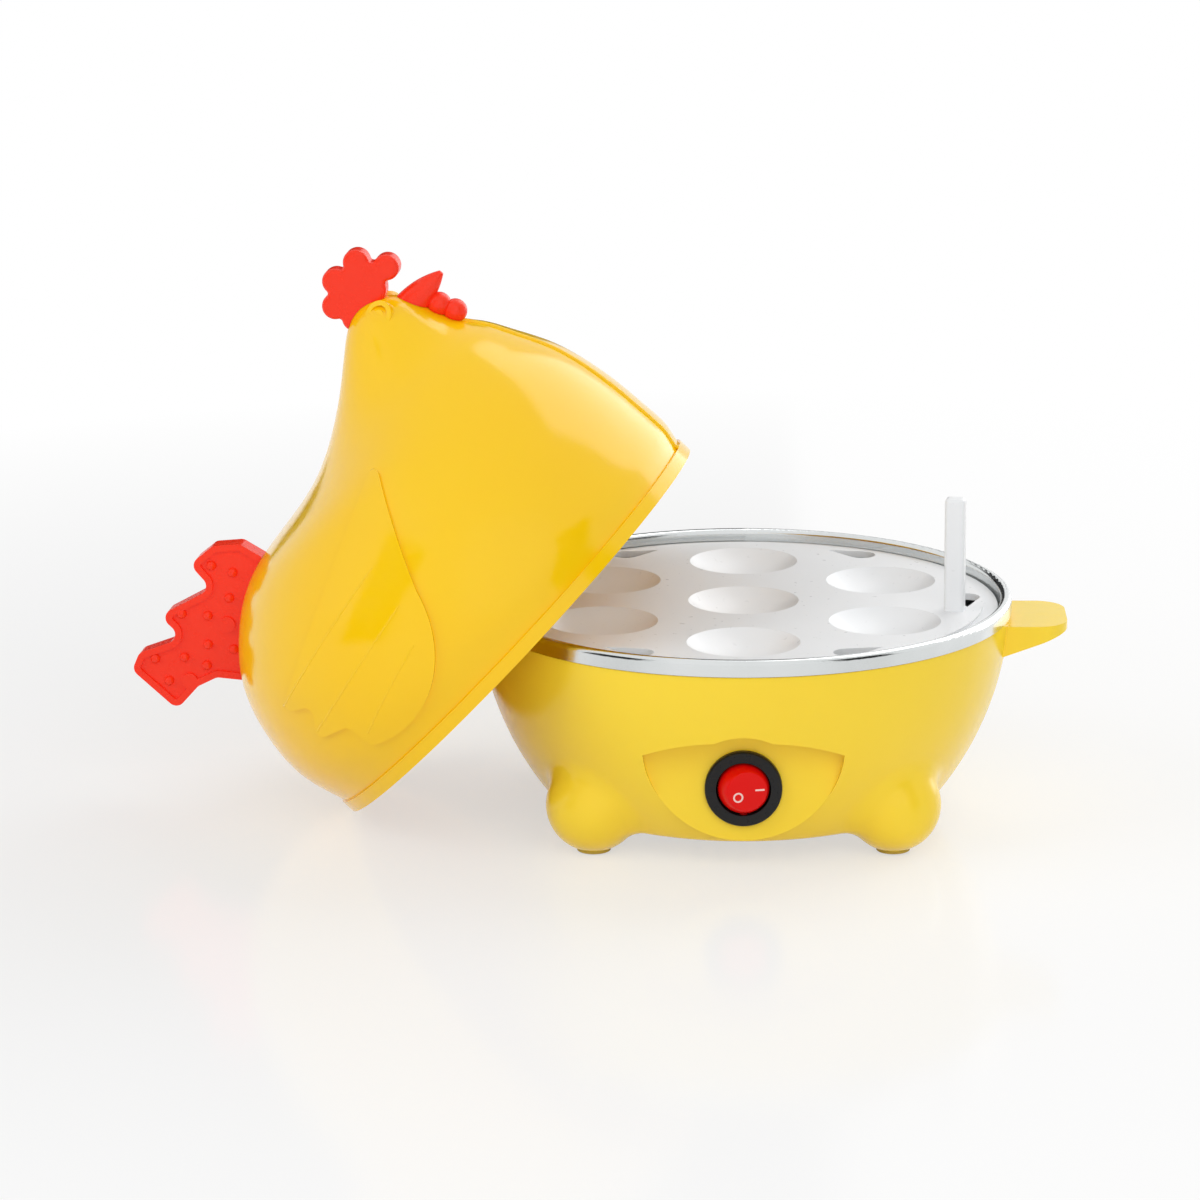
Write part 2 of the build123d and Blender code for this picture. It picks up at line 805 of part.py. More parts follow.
# Comb: round lobes about a core, seated on the crown
with BuildPart() as lid_comb:
    with BuildSketch(Plane.XZ):
        with Locations(hen_point(*comb_core_share)):
            Circle(comb_core_radius)
            with Locations(*[(x * comb_core_radius, y * comb_core_radius) for x, y in comb_lobe_shares]):
                Circle(comb_lobe_radius)
        offset(amount=comb_notch_radius)
        offset(amount=-comb_notch_radius)
    extrude(amount=comb_thickness / 2, both=True)
    fillet(lid_comb.faces().filter_by(Axis.Y).edges(), radius=comb_round)
    add(hen_clear, mode=Mode.SUBTRACT)
    with BuildSketch(comb_peg_plane.offset(-peg_length)):
        Circle(peg_radius)
    extrude(amount=peg_length + peg_root)
lid_comb.part.move(lid_place)
lid_comb.part.label = "lid_comb"
export_step(lid_comb.part, "parts/lid_comb.step")

# Beak and wattle in one piece, seated on the front of the head
beak_reach, beak_level = hen_point(*beak_share)
with BuildPart() as beak_and_wattle:
    for along_share, size_share in beak_taper_shares:
        beak_at = beak_reach + along_share * (beak_root + beak_length)
        with BuildSketch(Plane.YZ.offset(beak_at)):
            with Locations((0, beak_level)):
                Ellipse(size_share * beak_thickness / 2, size_share * beak_height / 2)
    loft()
    for wattle_share in wattle_shares:
        wattle_reach, wattle_level = hen_point(*wattle_share)
        with Locations((wattle_reach, 0, wattle_level)):
            Sphere(wattle_radius)
    add(hen_clear, mode=Mode.SUBTRACT)
    with BuildSketch(beak_peg_plane.offset(-peg_length)):
        Circle(peg_radius)
    extrude(amount=peg_length + peg_root)
beak_and_wattle.part.move(lid_place)
beak_and_wattle.part.label = "beak_and_wattle"
export_step(beak_and_wattle.part, "parts/beak_and_wattle.step")

# Tail: a three-pointed plate with a raised border and round bumps on both faces
with BuildPart() as lid_tail:
    with BuildSketch(Plane.XZ) as tail_face:
        Polygon(*[hen_point(*share) for share in tail_outline_shares], align=None)
        fillet(tail_face.vertices(), radius=tail_corner_radius)
    extrude(amount=tail_thickness / 2, both=True)
    for side in (-1, 1):
        with BuildSketch(Plane.XZ.offset(side * tail_thickness / 2)):
            add(tail_face.sketch)
            offset(amount=-tail_border_width)
        extrude(amount=-side * tail_border_depth, mode=Mode.SUBTRACT)
        bump_level = side * (tail_border_depth - tail_thickness / 2)
        for bump_share in tail_bump_shares:
            bump_reach, bump_height = hen_point(*bump_share)
            with Locations((bump_reach, bump_level, bump_height)):
                Sphere(tail_bump_radius)
        for boss_share in tail_boss_shares:
            boss_reach, boss_height = hen_point(*boss_share)
            with Locations((boss_reach, bump_level, boss_height)):
                Cylinder(tail_boss_radius, 2 * tail_border_depth, rotation=(90, 0, 0))
    add(hen_clear, mode=Mode.SUBTRACT)
    with BuildSketch(tail_peg_plane.offset(-peg_length)):
        Circle(peg_radius)
    extrude(amount=peg_length + peg_root)
lid_tail.part.move(lid_place)
lid_tail.part.label = "lid_tail"
export_step(lid_tail.part, "parts/lid_tail.step")

# Push-on clips that hold the pegs inside the lid
with BuildPart() as trim_clips:
    for peg_plane, drop_share in zip(peg_planes, clip_drop_shares):
        with BuildSketch(peg_plane.offset(-drop_share * lid_wall - moving_gap)):
            Circle(clip_ring_radius)
            Circle(peg_radius + thread_gap, mode=Mode.SUBTRACT)
        extrude(amount=-clip_sheet)
trim_clips.part.move(lid_place)
trim_clips.part.label = "trim_clips"
export_step(trim_clips.part, "parts/trim_clips.step")

# Switch body: bezel in front of the panel, round body behind it, bored for the rocker
switch_plane = Plane(origin=(0, -panel_distance, switch_height), x_dir=(1, 0, 0), z_dir=(0, -1, 0))
pivot = (0, -pivot_distance, switch_height)
with BuildPart() as switch_body:
    with BuildSketch(switch_plane):
        Circle(switch_bezel_radius)
    extrude(amount=switch_bezel_thickness)
    fillet(switch_body.edges().sort_by(Axis.Y)[0], radius=switch_bezel_round)
    with BuildSketch(switch_plane):
        Circle(switch_body_radius)
    extrude(amount=-switch_body_depth)
    with BuildSketch(switch_plane.offset(switch_bezel_thickness)):
        Circle(rocker_radius + moving_gap)
    extrude(
        amount=-switch_bezel_thickness + switch_pivot_rise - rocker_radius - moving_gap,
        mode=Mode.SUBTRACT,
    )
    with Locations(pivot):
        Cylinder(
            rocker_pin_radius + moving_gap,
            2 * (rocker_radius + rocker_pin_length + moving_gap),
            mode=Mode.SUBTRACT,
        )
switch_body.part.label = "switch_body"
export_step(switch_body.part, "parts/switch_body.step")

# Rocker: a ball-sided button on an upright pin, tipped to its pressed position
rocker_tip = math.radians(rocker_throw / 2)
rocker_plane = Plane(
    origin=pivot,
    x_dir=(math.cos(rocker_tip), math.sin(rocker_tip), 0),
    z_dir=(math.sin(rocker_tip), -math.cos(rocker_tip), 0),
)
with BuildPart() as switch_rocker:
    with Locations(pivot):
        Sphere(rocker_radius)
    with BuildSketch(rocker_plane.offset(rocker_rise)):
        Circle(rocker_radius)
    extrude(amount=rocker_radius, mode=Mode.SUBTRACT)
    fillet(switch_rocker.edges(Select.NEW), radius=rocker_edge_round)
    with BuildSketch(rocker_plane.offset(-rocker_depth)):
        Circle(rocker_radius)
    extrude(amount=-rocker_radius, mode=Mode.SUBTRACT)
    with Locations(pivot):
        Cylinder(rocker_pin_radius, 2 * (rocker_radius + rocker_pin_length))
switch_rocker.part.label = "switch_rocker"
export_step(switch_rocker.part, "parts/switch_rocker.step")

with BuildPart() as switch_tabs:
    with BuildSketch(switch_plane.offset(-switch_body_depth)):
        with GridLocations(switch_tab_spacing, 0, 2, 1):
            Rectangle(switch_tab_thickness, switch_tab_width)
    extrude(amount=-switch_tab_length)
switch_tabs.part.label = "switch_tabs"
export_step(switch_tabs.part, "parts/switch_tabs.step")

# Z-shaped brackets between the pan's floor and the shell's ledges
bracket_top_radius = pan_floor_radius - pan_bend_radius - bracket_sheet
with BuildPart() as pan_brackets:
    with ledge_places:
        with Locations((bracket_top_radius - bracket_top_length, 0, pan_underside - bracket_sheet)):
            Box(bracket_top_length, bracket_width, bracket_sheet, align=out_from_axis)
        with Locations((bracket_top_radius, 0, ledge_height)):
            Box(bracket_sheet, bracket_width, pan_underside - ledge_height, align=out_from_axis)
            Box(bracket_foot_length, bracket_width, bracket_sheet, align=out_from_axis)
    with BuildSketch(Plane.XY.offset(ledge_height)):
        with ledge_holes:
            Circle(shell_screw_radius + thread_gap)
    extrude(amount=bracket_sheet, mode=Mode.SUBTRACT)
pan_brackets.part.label = "pan_brackets"
export_step(pan_brackets.part, "parts/pan_brackets.step")

with BuildPart() as bracket_screws:
    with ledge_holes:
        with Locations((0, 0, ledge_height - ledge_thickness)):
            add(bracket_screw)
bracket_screws.part.label = "bracket_screws"
export_step(bracket_screws.part, "parts/bracket_screws.step")

# Heater path: a ring open at the back, with straight ends that run on along its tangents
half_gap = tube_gap_angle / 2
gap_turn = math.radians(90 + half_gap)
tube_end = Vector(
    tube_ring_radius * math.cos(gap_turn), tube_ring_radius * math.sin(gap_turn), tube_height
)
tube_way = Vector(math.sin(gap_turn), -math.cos(gap_turn), 0)
tail_end = tube_end + tube_way * tube_tail_length
right_way = Vector(-tube_way.X, tube_way.Y, 0)
tail_ends = ((tail_end, tube_way), (Vector(-tail_end.X, tail_end.Y, tail_end.Z), right_way))
with BuildLine(Plane.XY.offset(tube_height)) as tube_path:
    Line((tail_end.X, tail_end.Y), (tube_end.X, tube_end.Y))
    CenterArc((0, 0), tube_ring_radius, 90 + half_gap, 360 - tube_gap_angle)
    Line((-tube_end.X, tube_end.Y), (-tail_end.X, tail_end.Y))


# The heater tube's form, with a radius to suit the tube or its groove
def heater_form(radius):
    with BuildPart() as form:
        with BuildSketch(Plane(origin=tail_end, z_dir=-tube_way)):
            Circle(radius)
        sweep(path=tube_path.line)
    return form.part


with BuildPart() as heater_tube:
    add(heater_form(tube_radius))
heater_tube.part.label = "heater_tube"
export_step(heater_tube.part, "parts/heater_tube.step")

# Heat spreader, grooved for the tube, notched at its ends and drilled for the screws
ear_places = [(side * thermostat_ear_spacing / 2, -thermostat_offset) for side in (-1, 1)]
clip_side = fuse_offset + sleeve_radius + clip_sheet + clip_foot_length / 2
spreader_holes = ear_places + [(0, clip_side)]
with BuildPart() as heat_spreader:
    with BuildSketch(Plane.XY.offset(spreader_bottom)):
        Circle(spreader_radius)
        Circle(stud_radius + fitted_gap, mode=Mode.SUBTRACT)
        with Locations(*spreader_holes):
            Circle(small_screw_radius + thread_gap, mode=Mode.SUBTRACT)
        with Locations((0, tail_end.Y - bead_radius - spreader_notch_margin)):
            Rectangle(
                2 * (abs(tail_end.X) + spreader_notch_margin),
                spreader_radius,
                align=(Align.CENTER, Align.MIN),
                mode=Mode.SUBTRACT,
            )
    extrude(amount=spreader_thickness)
    add(heater_form(tube_radius + fitted_gap), mode=Mode.SUBTRACT)
heat_spreader.part.label = "heat_spreader"
export_step(heat_spreader.part, "parts/heat_spreader.step")

# Ceramic beads on the tube's ends, and the pins that pass through them
with BuildPart() as heater_beads:
    for place, way in tail_ends:
        with BuildSketch(Plane(origin=place, z_dir=way)):
            Circle(bead_radius)
            Circle(pin_radius + thread_gap, mode=Mode.SUBTRACT)
        extrude(amount=bead_length)
heater_beads.part.label = "heater_beads"
export_step(heater_beads.part, "parts/heater_beads.step")

with BuildPart() as heater_pins:
    for place, way in tail_ends:
        with BuildSketch(Plane(origin=place, z_dir=way)):
            Circle(pin_radius)
        extrude(amount=pin_length)
heater_pins.part.label = "heater_pins"
export_step(heater_pins.part, "parts/heater_pins.step")

# Strap across the tube, drawn up by a nut on the pan's stud
with BuildPart() as clamp_strap:
    with BuildSketch(Plane.XY.offset(strap_bottom)):
        SlotOverall(strap_length, strap_width)
        Circle(stud_radius + fitted_gap, mode=Mode.SUBTRACT)
    extrude(amount=strap_sheet)
clamp_strap.part.label = "clamp_strap"
export_step(clamp_strap.part, "parts/clamp_strap.step")

with BuildPart() as clamp_nut:
    with BuildSketch(Plane.XY.offset(strap_bottom)):
        RegularPolygon(nut_across / 2, 6, major_radius=False)
        Circle(stud_radius + thread_gap, mode=Mode.SUBTRACT)
    extrude(amount=-nut_height)
clamp_nut.part.label = "clamp_nut"
export_step(clamp_nut.part, "parts/clamp_nut.step")

# Thermostat: metal cup with two ears, moulded base and two side tabs
thermostat_place = (0, -thermostat_offset)
cup_bottom = spreader_bottom - thermostat_cup_height
base_bottom = cup_bottom - thermostat_base_height
with BuildPart() as thermostat_cup:
    with BuildSketch(Plane.XY.offset(spreader_bottom)):
        with Locations(thermostat_place):
            Circle(thermostat_cup_radius)
    extrude(amount=-thermostat_cup_height)
    with BuildSketch(Plane.XY.offset(spreader_bottom)):
        with Locations(thermostat_place):
            SlotCenterToCenter(thermostat_ear_spacing, 2 * thermostat_ear_radius)
        with Locations(*ear_places):
            Circle(small_screw_radius + thread_gap, mode=Mode.SUBTRACT)
    extrude(amount=-thermostat_ear_thickness)
thermostat_cup.part.label = "thermostat_cup"
export_step(thermostat_cup.part, "parts/thermostat_cup.step")

with BuildPart() as thermostat_base:
    with BuildSketch(Plane.XY.offset(cup_bottom)):
        with Locations(thermostat_place):
            Circle(thermostat_base_radius)
    extrude(amount=-thermostat_base_height)
thermostat_base.part.label = "thermostat_base"
export_step(thermostat_base.part, "parts/thermostat_base.step")

tab_root = thermostat_base_radius / 2
with BuildPart() as thermostat_tabs:
    with BuildSketch(Plane.XY.offset(base_bottom)):
        for side in (-1, 1):
            with Locations((side * (thermostat_tab_reach + tab_root) / 2, -thermostat_offset)):
                Rectangle(thermostat_tab_reach - tab_root, thermostat_tab_width)
    extrude(amount=-thermostat_tab_thickness)
thermostat_tabs.part.label = "thermostat_tabs"
export_step(thermostat_tabs.part, "parts/thermostat_tabs.step")

# Thermal fuse in a sleeve, held up by a clip
fuse_height = spreader_bottom - sleeve_radius - fitted_gap
fuse_plane = Plane.YZ
with BuildPart() as thermal_fuse:
    with BuildSketch(fuse_plane):
        with Locations((fuse_offset, fuse_height)):
            Circle(fuse_radius)
    extrude(amount=fuse_length / 2, both=True)
    with BuildSketch(fuse_plane):
        with Locations((fuse_offset, fuse_height)):
            Circle(fuse_wire_radius)
    extrude(amount=fuse_wire_reach, both=True)
thermal_fuse.part.label = "thermal_fuse"
export_step(thermal_fuse.part, "parts/thermal_fuse.step")

with BuildPart() as fuse_sleeve:
    with BuildSketch(fuse_plane):
        with Locations((fuse_offset, fuse_height)):
            Circle(sleeve_radius)
            Circle(fuse_radius + fitted_gap, mode=Mode.SUBTRACT)
    extrude(amount=sleeve_length / 2, both=True)
fuse_sleeve.part.label = "fuse_sleeve"
export_step(fuse_sleeve.part, "parts/fuse_sleeve.step")

clip_inner = sleeve_radius + fitted_gap
clip_outer = clip_inner + clip_sheet
with BuildPart() as fuse_clip:
    with BuildSketch(fuse_plane):
        with Locations((fuse_offset, fuse_height)):
            Circle(clip_outer)
            with Locations((0, clip_inner / 2)):
                Rectangle(2 * clip_outer, clip_inner)
        with Locations((fuse_offset + clip_inner, spreader_bottom)):
            Rectangle(clip_foot_length + clip_sheet, clip_sheet, align=(Align.MIN, Align.MAX))
        with Locations((fuse_offset, fuse_height)):
            Circle(clip_inner, mode=Mode.SUBTRACT)
            with Locations((0, clip_outer)):
                Rectangle(2 * clip_inner, 2 * clip_outer, mode=Mode.SUBTRACT)
    extrude(amount=clip_width / 2, both=True)
    with BuildSketch(Plane.XY.offset(spreader_bottom)):
        with Locations((0, clip_side)):
            Circle(small_screw_radius + thread_gap)
    extrude(amount=-clip_sheet, mode=Mode.SUBTRACT)
fuse_clip.part.label = "fuse_clip"
export_step(fuse_clip.part, "parts/fuse_clip.step")

with BuildPart() as spreader_screws:
    with Locations(*[(x, y, spreader_bottom - thermostat_ear_thickness) for x, y in spreader_holes]):
        add(small_screw)
spreader_screws.part.label = "spreader_screws"
export_step(spreader_screws.part, "parts/spreader_screws.step")

# Terminal block on the cover: two wire ways, each with two clamp screws from above
block_top = cover_top + block_height
block_wire_level = cover_top + block_wire_height
block_front = block_distance - block_depth / 2
with BuildPart() as terminal_block:
    with Locations((0, block_distance, cover_top)):
        Box(block_width, block_depth, block_height, align=up_from_base)
    with BuildSketch(Plane.XZ.offset(-block_front)):
        with Locations((0, block_wire_level)):
            with GridLocations(block_spacing, 0, 2, 1):
                Circle(block_wire_radius)
    extrude(amount=-block_depth, mode=Mode.SUBTRACT)
    with BuildSketch(Plane.XY.offset(block_top)):
        with Locations((0, block_distance)):
            with GridLocations(block_spacing, block_depth / 2, 2, 2):
                Circle(block_screw_radius + thread_gap)
    extrude(amount=-block_height + block_wire_height, mode=Mode.SUBTRACT)
terminal_block.part.label = "terminal_block"
export_step(terminal_block.part, "parts/terminal_block.step")

with BuildPart() as block_screws:
    with BuildSketch(Plane.XY.offset(block_wire_level + lead_radius + thread_gap)):
        with Locations((0, block_distance)):
            with GridLocations(block_spacing, block_depth / 2, 2, 2):
                Circle(block_screw_radius)
    extrude(amount=block_screw_height)
    with BuildSketch(Plane.XY.offset(block_wire_level + lead_radius + thread_gap + block_screw_height)):
        with Locations((0, block_distance)):
            with GridLocations(block_spacing, block_depth / 2, 2, 2):
                Rectangle(2 * block_screw_radius, recess_width)
    extrude(amount=-recess_depth, mode=Mode.SUBTRACT)
block_screws.part.label = "block_screws"
export_step(block_screws.part, "parts/block_screws.step")

# Cord gland: outer flange, body through the wall and inner lip, bored for the cord
with BuildPart() as cord_gland:
    with BuildSketch(gland_plane):
        Circle(gland_flange_radius)
    extrude(amount=gland_flange_thickness)
    fillet(cord_gland.edges().sort_by(Axis.Y)[-1], radius=gland_flange_thickness / 2)
    with BuildSketch(gland_plane):
        Circle(gland_body_radius)
    extrude(amount=-shell_wall - fitted_gap - gland_lip_thickness)
    with BuildSketch(gland_plane.offset(-shell_wall - fitted_gap)):
        Circle(gland_lip_radius)
    extrude(amount=-gland_lip_thickness)
    with BuildSketch(gland_plane.offset(gland_flange_thickness)):
        Circle(gland_bore_radius)
    extrude(amount=-panel_depth, mode=Mode.SUBTRACT)
cord_gland.part.label = "cord_gland"
export_step(cord_gland.part, "parts/cord_gland.step")

# Routes of the leads, each from one terminal to the next
pin_ends = [place + way * pin_length for place, way in tail_ends]
pin_runs = [end + way * lead_end_run for end, (place, way) in zip(pin_ends, tail_ends)]
tab_side = switch_tab_spacing / 2
tab_level = base_bottom - thermostat_tab_thickness / 2
wire_side = block_spacing / 2
lead_middle_level = tab_level + lead_middle_rise
lead_crossing_level = block_top + lead_crossing_rise
lead_routes = {
    "lead_live": [
        (wire_side, block_distance, block_wire_level),
        (wire_side, -thermostat_offset, block_wire_level),
        (tab_side, -tab_end_distance + lead_bend_run, switch_height),
        (tab_side, -tab_end_distance, switch_height),
    ],
    "lead_switched": [
        (-tab_side, -tab_end_distance, switch_height),
        (-tab_side, -tab_end_distance + lead_bend_run, switch_height),
        (-lead_inner_reach, -thermostat_offset - lead_bend_run, tab_level),
        (-lead_inner_reach, -thermostat_offset, tab_level),
        (-thermostat_tab_reach, -thermostat_offset, tab_level),
    ],
    "lead_heater": [
        (thermostat_tab_reach, -thermostat_offset, tab_level),
        (lead_side_reach, -thermostat_offset, tab_level),
        (lead_side_reach, block_front, tab_level),
        (pin_runs[1].X, pin_runs[1].Y, tab_level),
        (pin_runs[1].X, pin_runs[1].Y, tube_height),
        tuple(pin_ends[1]),
    ],
    "lead_fuse": [
        tuple(pin_ends[0]),
        (pin_runs[0].X, pin_runs[0].Y, tube_height),
        (pin_runs[0].X, pin_runs[0].Y, lead_middle_level),
        (-lead_inner_reach, pin_runs[0].Y, lead_middle_level),
        (-lead_inner_reach, fuse_offset, lead_middle_level),
        (-fuse_wire_reach - lead_end_run, fuse_offset, fuse_height),
        (-fuse_wire_reach, fuse_offset, fuse_height),
    ],
    "lead_neutral": [
        (fuse_wire_reach, fuse_offset, fuse_height),
        (fuse_wire_reach + lead_end_run, fuse_offset, fuse_height),
        (fuse_wire_reach + lead_end_run, fuse_offset, lead_crossing_level),
        (-wire_side, fuse_offset, lead_crossing_level),
        (-wire_side, fuse_offset, block_wire_level),
        (-wire_side, block_distance, block_wire_level),
    ],
}


# Bend radii that leave room for each bend between its neighbours
def bend_radii(points):
    corners = [Vector(*point) for point in points]
    radii = []
    for before, corner, after in zip(corners, corners[1:], corners[2:]):
        turn = math.radians((corner - before).get_angle(after - corner))
        shorter = min((corner - before).length, (after - corner).length)
        radii.append(min(lead_bend_radius, lead_bend_share * shorter / math.tan(turn / 2)))
    return radii


for lead_name, lead_points in lead_routes.items():
    with BuildPart() as lead:
        with BuildLine() as lead_path:
            FilletPolyline(*lead_points, radius=bend_radii(lead_points))
        with BuildSketch(Plane(origin=lead_path.line @ 0, z_dir=lead_path.line % 0)):
            Circle(lead_radius)
        sweep()
    lead.part.label = lead_name
    export_step(lead.part, "parts/" + lead_name + ".step")
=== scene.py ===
import json
import math

import bpy
from mathutils import Matrix, Vector


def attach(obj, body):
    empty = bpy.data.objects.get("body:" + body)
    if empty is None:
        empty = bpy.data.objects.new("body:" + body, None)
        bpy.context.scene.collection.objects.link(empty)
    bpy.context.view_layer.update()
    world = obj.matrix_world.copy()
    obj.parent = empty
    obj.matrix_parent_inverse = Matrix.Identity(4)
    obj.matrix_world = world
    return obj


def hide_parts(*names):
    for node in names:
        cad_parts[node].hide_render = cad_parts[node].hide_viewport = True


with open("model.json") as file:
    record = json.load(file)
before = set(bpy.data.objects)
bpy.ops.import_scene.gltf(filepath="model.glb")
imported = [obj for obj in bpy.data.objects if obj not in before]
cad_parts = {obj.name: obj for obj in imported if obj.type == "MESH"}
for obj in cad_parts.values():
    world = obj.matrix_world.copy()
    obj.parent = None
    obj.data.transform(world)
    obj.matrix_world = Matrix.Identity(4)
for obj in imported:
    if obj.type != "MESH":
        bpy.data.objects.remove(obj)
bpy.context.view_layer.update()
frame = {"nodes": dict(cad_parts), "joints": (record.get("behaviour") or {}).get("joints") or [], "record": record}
scene = bpy.context.scene
print("frame loaded:", len(frame["nodes"]), "nodes")


# general helpers
weldReach = {"solid": 0.000004, "made": 0.000002}


def deselectAll():
    if bpy.context.object and bpy.context.object.mode != "OBJECT":
        bpy.ops.object.mode_set(mode="OBJECT")
    bpy.ops.object.select_all(action="DESELECT")


def makeActive(piece):
    deselectAll()
    piece.select_set(True)
    bpy.context.view_layer.objects.active = piece


def applyPlace(piece):
    makeActive(piece)
    bpy.ops.object.transform_apply(location=True, rotation=True, scale=True)


def applyModifiers(piece):
    makeActive(piece)
    for modifier in list(piece.modifiers):
        bpy.ops.object.modifier_apply(modifier=modifier.name)


def smoothByAngle(piece, degrees):
    makeActive(piece)
    bpy.ops.object.shade_smooth_by_angle(angle=math.radians(degrees))


def outwardNormals(piece):
    makeActive(piece)
    bpy.ops.object.mode_set(mode="EDIT")
    bpy.ops.mesh.select_all(action="SELECT")
    bpy.ops.mesh.remove_doubles(threshold=weldReach["made"])
    bpy.ops.mesh.normals_make_consistent(inside=False)
    bpy.ops.object.mode_set(mode="OBJECT")


def putOn(piece, bodyName, material):
    piece.data.materials.clear()
    piece.data.materials.append(material)
    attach(piece, bodyName)


# a welded copy of a solid, with smooth faces and crisp edges
def weldedCopy(nodeName, pieceName, degrees):
    piece = bpy.data.objects.new(pieceName, frame["nodes"][nodeName].data.copy())
    scene.collection.objects.link(piece)
    makeActive(piece)
    bpy.ops.object.mode_set(mode="EDIT")
    bpy.ops.mesh.select_all(action="SELECT")
    bpy.ops.mesh.remove_doubles(threshold=weldReach["solid"])
    bpy.ops.object.mode_set(mode="OBJECT")
    if piece.data.has_custom_normals:
        bpy.ops.mesh.customdata_custom_splitnormals_clear()
    smoothByAngle(piece, degrees)
    return piece


# node groups: both take two colours and a roughness, and give a colour, a roughness and a height
noiseBand = (0.3, 0.7)
skinSockets = (
    ("Colour", "INPUT", "NodeSocketColor"),
    ("Deep Colour", "INPUT", "NodeSocketColor"),
    ("Roughness", "INPUT", "NodeSocketFloat"),
    ("Colour", "OUTPUT", "NodeSocketColor"),
    ("Roughness", "OUTPUT", "NodeSocketFloat"),
    ("Height", "OUTPUT", "NodeSocketFloat"),
)


def newGroup(name):
    group = bpy.data.node_groups.new(name, "ShaderNodeTree")
    for socketName, side, kind in skinSockets:
        group.interface.new_socket(name=socketName, in_out=side, socket_type=kind)
    start = group.nodes.new("NodeGroupInput")
    end = group.nodes.new("NodeGroupOutput")
    return group, start, end


def addNode(tree, kind, **settings):
    node = tree.nodes.new(kind)
    for key, value in settings.items():
        setattr(node, key, value)
    return node


def addMath(tree, operation, first, second):
    node = addNode(tree, "ShaderNodeMath", operation=operation)
    for index, value in enumerate((first, second)):
        if isinstance(value, (int, float)):
            node.inputs[index].default_value = value
        else:
            tree.links.new(value, node.inputs[index])
    return node.outputs[0]


def addNoise(tree, vector, scale, detail):
    node = addNode(tree, "ShaderNodeTexNoise")
    node.inputs["Scale"].default_value = scale
    node.inputs["Detail"].default_value = detail
    tree.links.new(vector, node.inputs["Vector"])
    return node.outputs["Fac"]


def addRange(tree, value, low, high):
    node = addNode(tree, "ShaderNodeMapRange")
    for index, limit in enumerate((*noiseBand, low, high)):
        node.inputs[index + 1].default_value = limit
    tree.links.new(value, node.inputs[0])
    return node.outputs[0]


# 6, 7 and 2 are the Mix node's colour sockets
def addMix(tree, factor, first, second):
    node = addNode(tree, "ShaderNodeMix", data_type="RGBA")
    tree.links.new(factor, node.inputs[0])
    tree.links.new(first, node.inputs[6])
    tree.links.new(second, node.inputs[7])
    return node.outputs[2]


# moulded plastic: cloudy pigment, fine skin, faint rub marks; noises as scale and detail
mouldedDetail = {
    "cloud": (14, 3), "skin": (2600, 2), "ripple": (90, 2), "rub": (420, 6),
    "cloudRange": (0, 0.5), "rubRange": (-0.03, 0.06), "skinShare": 0.12, "rippleShare": 0.9,
}


def makeMouldedGroup(detail):
    group, start, end = newGroup("mouldedSkin")
    place = addNode(group, "ShaderNodeTexCoord").outputs["Object"]
    cloud = addNoise(group, place, *detail["cloud"])
    skin = addNoise(group, place, *detail["skin"])
    ripple = addNoise(group, place, *detail["ripple"])
    rub = addNoise(group, place, *detail["rub"])
    cloudShare = addRange(group, cloud, *detail["cloudRange"])
    colour = addMix(group, cloudShare, start.outputs["Colour"], start.outputs["Deep Colour"])
    group.links.new(colour, end.inputs["Colour"])
    rough = addMath(group, "ADD", start.outputs["Roughness"], addRange(group, rub, *detail["rubRange"]))
    group.links.new(rough, end.inputs["Roughness"])
    skinHeight = addMath(group, "MULTIPLY", skin, detail["skinShare"])
    rippleHeight = addMath(group, "MULTIPLY", ripple, detail["rippleShare"])
    group.links.new(addMath(group, "ADD", skinHeight, rippleHeight), end.inputs["Height"])
    return group


# drawn metal: streaks round the axis, small scratches, and darker colour blotches that are partly random tone and
# partly painted reflection bands
metalDetail = {
    "streak": (2400, 3), "blotchAndReflection": (35, 4), "scratch": (900, 5), "blotchAndReflectionRange": (0, 0.6),
    "streakRange": (-0.05, 0.08), "scratchRange": (0, 0.05), "scratchShare": 0.3,
}


def makeMetalGroup(detail):
    group, start, end = newGroup("drawnMetal")
    place = addNode(group, "ShaderNodeTexCoord").outputs["Object"]
    parts = addNode(group, "ShaderNodeSeparateXYZ")
    group.links.new(place, parts.inputs[0])
    squareX = addMath(group, "MULTIPLY", parts.outputs[0], parts.outputs[0])
    squareY = addMath(group, "MULTIPLY", parts.outputs[1], parts.outputs[1])
    radius = addMath(group, "SQRT", addMath(group, "ADD", squareX, squareY), 0)
    rings = addNode(group, "ShaderNodeCombineXYZ")
    group.links.new(radius, rings.inputs[0])
    group.links.new(parts.outputs[2], rings.inputs[2])
    streak = addNoise(group, rings.outputs[0], *detail["streak"])
    blotchAndReflection = addNoise(group, place, *detail["blotchAndReflection"])
    scratch = addNoise(group, place, *detail["scratch"])
    # darker blotches in the metal's colour: partly random tone, partly painted reflection bands
    blotchAndReflectionShare = addRange(group, blotchAndReflection, *detail["blotchAndReflectionRange"])
    colour = addMix(group, blotchAndReflectionShare, start.outputs["Colour"], start.outputs["Deep Colour"])
    group.links.new(colour, end.inputs["Colour"])
    streakSpread = addRange(group, streak, *detail["streakRange"])
    spread = addMath(group, "ADD", streakSpread, addRange(group, scratch, *detail["scratchRange"]))
    group.links.new(addMath(group, "ADD", start.outputs["Roughness"], spread), end.inputs["Roughness"])
    scratchHeight = addMath(group, "MULTIPLY", scratch, detail["scratchShare"])
    group.links.new(addMath(group, "ADD", streak, scratchHeight), end.inputs["Height"])
    return group


mouldedGroup = makeMouldedGroup(mouldedDetail)
metalGroup = makeMetalGroup(metalDetail)


